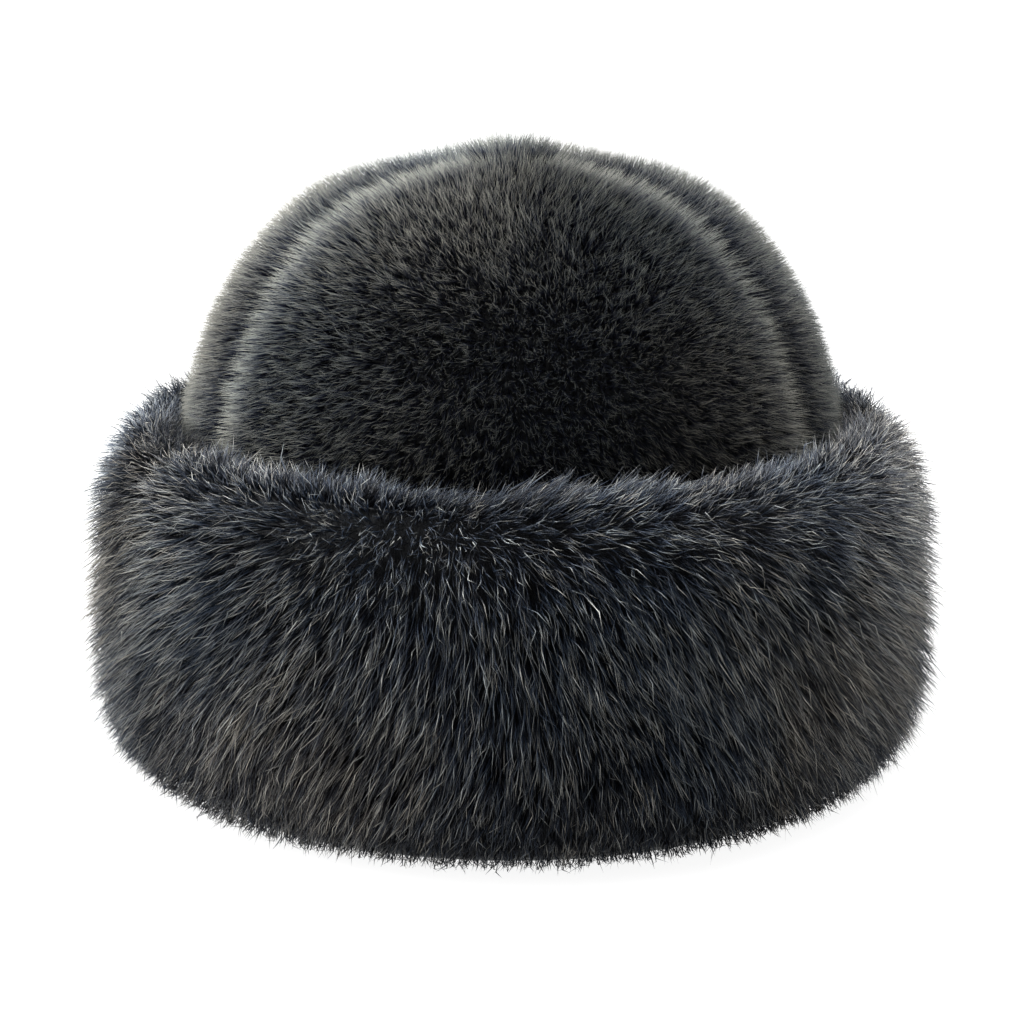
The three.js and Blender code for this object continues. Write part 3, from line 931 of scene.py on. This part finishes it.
class CuffHair:
    """Hairs at some places of the cuff: where each stands, its first and last direction and its length."""

    def __init__(self, azimuth, distance, noise):
        count = len(azimuth)
        depth = cuff_skin_depth(distance) + 0.5 * MM
        self.stand = Stand(CUFF, azimuth, distance, -depth)
        root, share = self.stand.root, distance / CUFF.length
        self.ridge = np.exp(-((share / RIDGE_REACH) ** 2))
        # Painted shade: the tips are coloured darker towards the foot.
        self.painted_foot_shade = np.interp(share, FOOT_PAINTED_SHADE_SHARES, [0, FOOT_PAINTED_SHADE])
        noise = noise * np.interp(share, STRAY_SHARES, STRAYING)
        down = np.interp(share, CUFF_LEAN_SHARES, CUFF_LEANS) + normal(count, noise)
        down = down + STROKE_DOWN * drift(root, STROKE, 31)
        swirl = RIDGE_SWIRL * self.ridge
        swirl = swirl + (STROKE_ROUND + STROKE_RIDGE * self.ridge) * drift(root, STROKE, 33)
        self.first = self.stand.leaning(down, normal(count, noise) + swirl)
        droop = CUFF_DROOP * np.interp(share, DROOP_SHARES, DROOPS)
        self.last = unit(self.first - droop[:, None] * UP)
        shoulder = np.exp(-(((share - SHOULDER_SHARE) / SHOULDER_REACH) ** 2))
        fuller = 1 + SHOULDER_FULLER * shoulder + RIDGE_FULLER * self.ridge
        fuller *= 1 + (TUFT_FULLER + RIDGE_TUFTS * self.ridge) * drift(root, TUFT, 35)
        reach = fuller * depth + FOOT_REACH * np.interp(share, FOOT_SHARES, [0, 1])
        self.length = reach / (self.first * self.stand.outwards).sum(1).clip(0.5)

    def at(self, share, reach=1):
        """Points at a share of the way along the hairs, which bend evenly from one direction to the other."""
        bend = (self.last - self.first) * share**2 / 2
        return self.stand.root + (self.first * share + bend) * (self.length * reach)[:, None]


def off_the_floor(spine):
    """Lifts the points of hairs that would lie below the surface that the hat stands on."""
    low = spine[..., 2] < FLOOR_GAP
    spine[low, 2] = FLOOR_GAP + rng.uniform(0, FLOOR_SCATTER, low.sum())
    return spine


print("the cuff's hair leans", dict(zip(CUFF_LEAN_SHARES, CUFF_LEANS)))

# %% How much hair the cuff has
CUFF_WISPS_PER_DEGREE, CUFF_LOCKS_PER_DEGREE, CUFF_WISP_HAIRS = 74, 14, 3
CUFF_HAIR_RADIUS = 0.16 * MM
CUFF_QUARTERS = {"front": -45, "right": 45, "back": 135, "left": 225}
QUARTER = 90
CUFF_PILE_END = 0.97  # of the cuff's line
CUFF_NOISE = 0.14
CUFF_LENGTHS, CUFF_CUTS = (0.98, 1.25), (0.62, 1.05)  # of a wisp, and of each hair in it
CUFF_WISP_SPREAD = 0.75 * MM
BEND_PLACE, BEND_PULL, BEND_SPREAD, BEND_SCATTER = 0.6, 0.12, 0.9, 0.8 * MM
CUFF_TIP_PULL, CUFF_TIP_SPREAD, CUFF_TIP_SCATTER = 0.38, 0.6, 1.3 * MM
CUFF_TONE_DRIFT, CUFF_LOCK_TONE, CUFF_HAIR_TONE = 0.28, 0.13, 0.1
# Painted shade: the tips along the ridge are coloured darker, against the light from above that falls on the
# cuff's top.
CUFF_LIGHT, CUFF_LOCK_LIGHT, RIDGE_PAINTED_SHADE, CUFF_HAIR_LIGHT = 0.82, 0.7, 0.2, 0.12
CUFF_LIGHTS = (0.3, 1.1)
print("hairs on the cuff", 360 * CUFF_WISPS_PER_DEGREE * CUFF_WISP_HAIRS)


# %% The dense pile of the cuff, in four pieces
def cuff_tones(root):
    """The slow change of tone over the cuff, which the pile and the guard hairs share."""
    return 0.5 + CUFF_TONE_DRIFT * drift(root, TONE_PATCH, 47)


def cuff_pile(name, start, material):
    covered = (0, CUFF_PILE_END * CUFF.length)
    places = strew(CUFF, CUFF_WISPS_PER_DEGREE * QUARTER, (start, start + QUARTER), covered)
    hair = CuffHair(*places, CUFF_NOISE)
    wisps = len(places[0])
    reach = rng.uniform(*CUFF_LENGTHS, wisps)
    lock = locks_of(hair.stand.root, CUFF_LOCKS_PER_DEGREE * QUARTER)
    spread = rng.normal(0, CUFF_WISP_SPREAD, (CUFF_WISP_HAIRS, wisps, 3))
    roots = (hair.stand.root + spread).reshape(-1, 3)
    middles = gathered(hair.at(BEND_PLACE, reach), lock, BEND_PULL) + BEND_SPREAD * spread
    tips = gathered(hair.at(1, reach), lock, CUFF_TIP_PULL) + CUFF_TIP_SPREAD * spread
    hairs = len(roots)
    cut = rng.uniform(*CUFF_CUTS, hairs)[:, None]
    bends = (middles + rng.normal(0, BEND_SCATTER, spread.shape)).reshape(-1, 3)
    ends = (tips + rng.normal(0, CUFF_TIP_SCATTER, spread.shape)).reshape(-1, 3)
    spine = np.stack([roots, roots + (bends - roots) * cut, roots + (ends - roots) * cut], 1)
    lock_tone = normal(lock.max() + 1, CUFF_LOCK_TONE)[lock]
    tone = np.tile(cuff_tones(hair.stand.root) + lock_tone, CUFF_WISP_HAIRS)
    tone = (tone + normal(hairs, CUFF_HAIR_TONE)).clip(*HAIR_TONES)
    # Painted shade: the tips are coloured darker along the ridge and towards the foot.
    light = CUFF_LIGHT + CUFF_LOCK_LIGHT * lock_tone - RIDGE_PAINTED_SHADE * hair.ridge - hair.painted_foot_shade
    light = (np.tile(light, CUFF_WISP_HAIRS) + normal(hairs, CUFF_HAIR_LIGHT)).clip(*CUFF_LIGHTS)
    radius = CUFF_HAIR_RADIUS * rng.uniform(0.7, 1.3, hairs)
    return needles("cuff_pile_" + name, off_the_floor(spine), radius, tone, light, material)


print("a quarter of the cuff has", CUFF_LOCKS_PER_DEGREE * QUARTER, "locks")

# %% [markdown]
# ## The guard hairs
#
# Over the dense pile lie longer and stiffer hairs, about one in nine of the cuff's. They are what the eye
# follows across the fur: each waves a little, they draw together into loose locks of their own, and their
# tips are paler. One in seven strays, and ends well outside the rest, which gives the outline its thin haze
# of single hairs.

# %% The guard hairs, which lie over the pile
GUARDS_PER_DEGREE, GUARD_LOCKS_PER_DEGREE = 28, 8
GUARD_RADIUS = 0.14 * MM
GUARD_END = 0.95  # of the cuff's line
GUARD_NOISE = 0.2
GUARD_POINTS = (0, 0.4, 0.72, 1)  # where along a hair it bends
GUARD_PULL, GUARD_WAVE = 0.45, 0.9 * MM
STRAYS = 0.14
GUARD_LENGTHS, STRAY_LENGTHS = (0.9, 1.2), (1.2, 1.5)
# Painted shade: the guard hairs' tips along the ridge are coloured darker, against the light from above that
# falls there.
GUARD_TONE, GUARD_LIGHT, RIDGE_GUARD_PAINTED_SHADE, GUARD_HAIR_LIGHT = 0.16, 1.06, 0.38, 0.14
GUARD_LIGHTS = (0.5, 1.5)


def guard_hair(name, start, material):
    places = strew(CUFF, GUARDS_PER_DEGREE * QUARTER, (start, start + QUARTER), (0, GUARD_END * CUFF.length))
    hair = CuffHair(*places, GUARD_NOISE)
    hairs = len(places[0])
    strays = rng.random(hairs) < STRAYS
    reach = np.where(strays, rng.uniform(*STRAY_LENGTHS, hairs), rng.uniform(*GUARD_LENGTHS, hairs))
    lock = locks_of(hair.stand.root, GUARD_LOCKS_PER_DEGREE * QUARTER)
    spine = np.stack([gathered(hair.at(point, reach), lock, GUARD_PULL * point) for point in GUARD_POINTS], 1)
    spine[:, 1:] += rng.normal(0, GUARD_WAVE, (hairs, len(GUARD_POINTS) - 1, 3))
    tone = (cuff_tones(hair.stand.root) + normal(hairs, GUARD_TONE)).clip(*HAIR_TONES)
    # Painted shade: the tips are coloured darker along the ridge and towards the foot.
    light = GUARD_LIGHT - RIDGE_GUARD_PAINTED_SHADE * hair.ridge - hair.painted_foot_shade
    light = (light + normal(hairs, GUARD_HAIR_LIGHT)).clip(*GUARD_LIGHTS)
    radius = GUARD_RADIUS * rng.uniform(0.7, 1.3, hairs)
    return needles("cuff_guard_hair_" + name, off_the_floor(spine), radius, tone, light, material)


print("guard hairs", 360 * GUARDS_PER_DEGREE, "of which stray", STRAYS)

# %% Both hairs on the four quarters of the cuff
for name, start in CUFF_QUARTERS.items():
    for pile in (cuff_pile(name, start, LONG_FUR), guard_hair(name, start, LONG_FUR)):
        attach(pile, "root")
        print(pile.name, len(pile.data.polygons), "triangles")
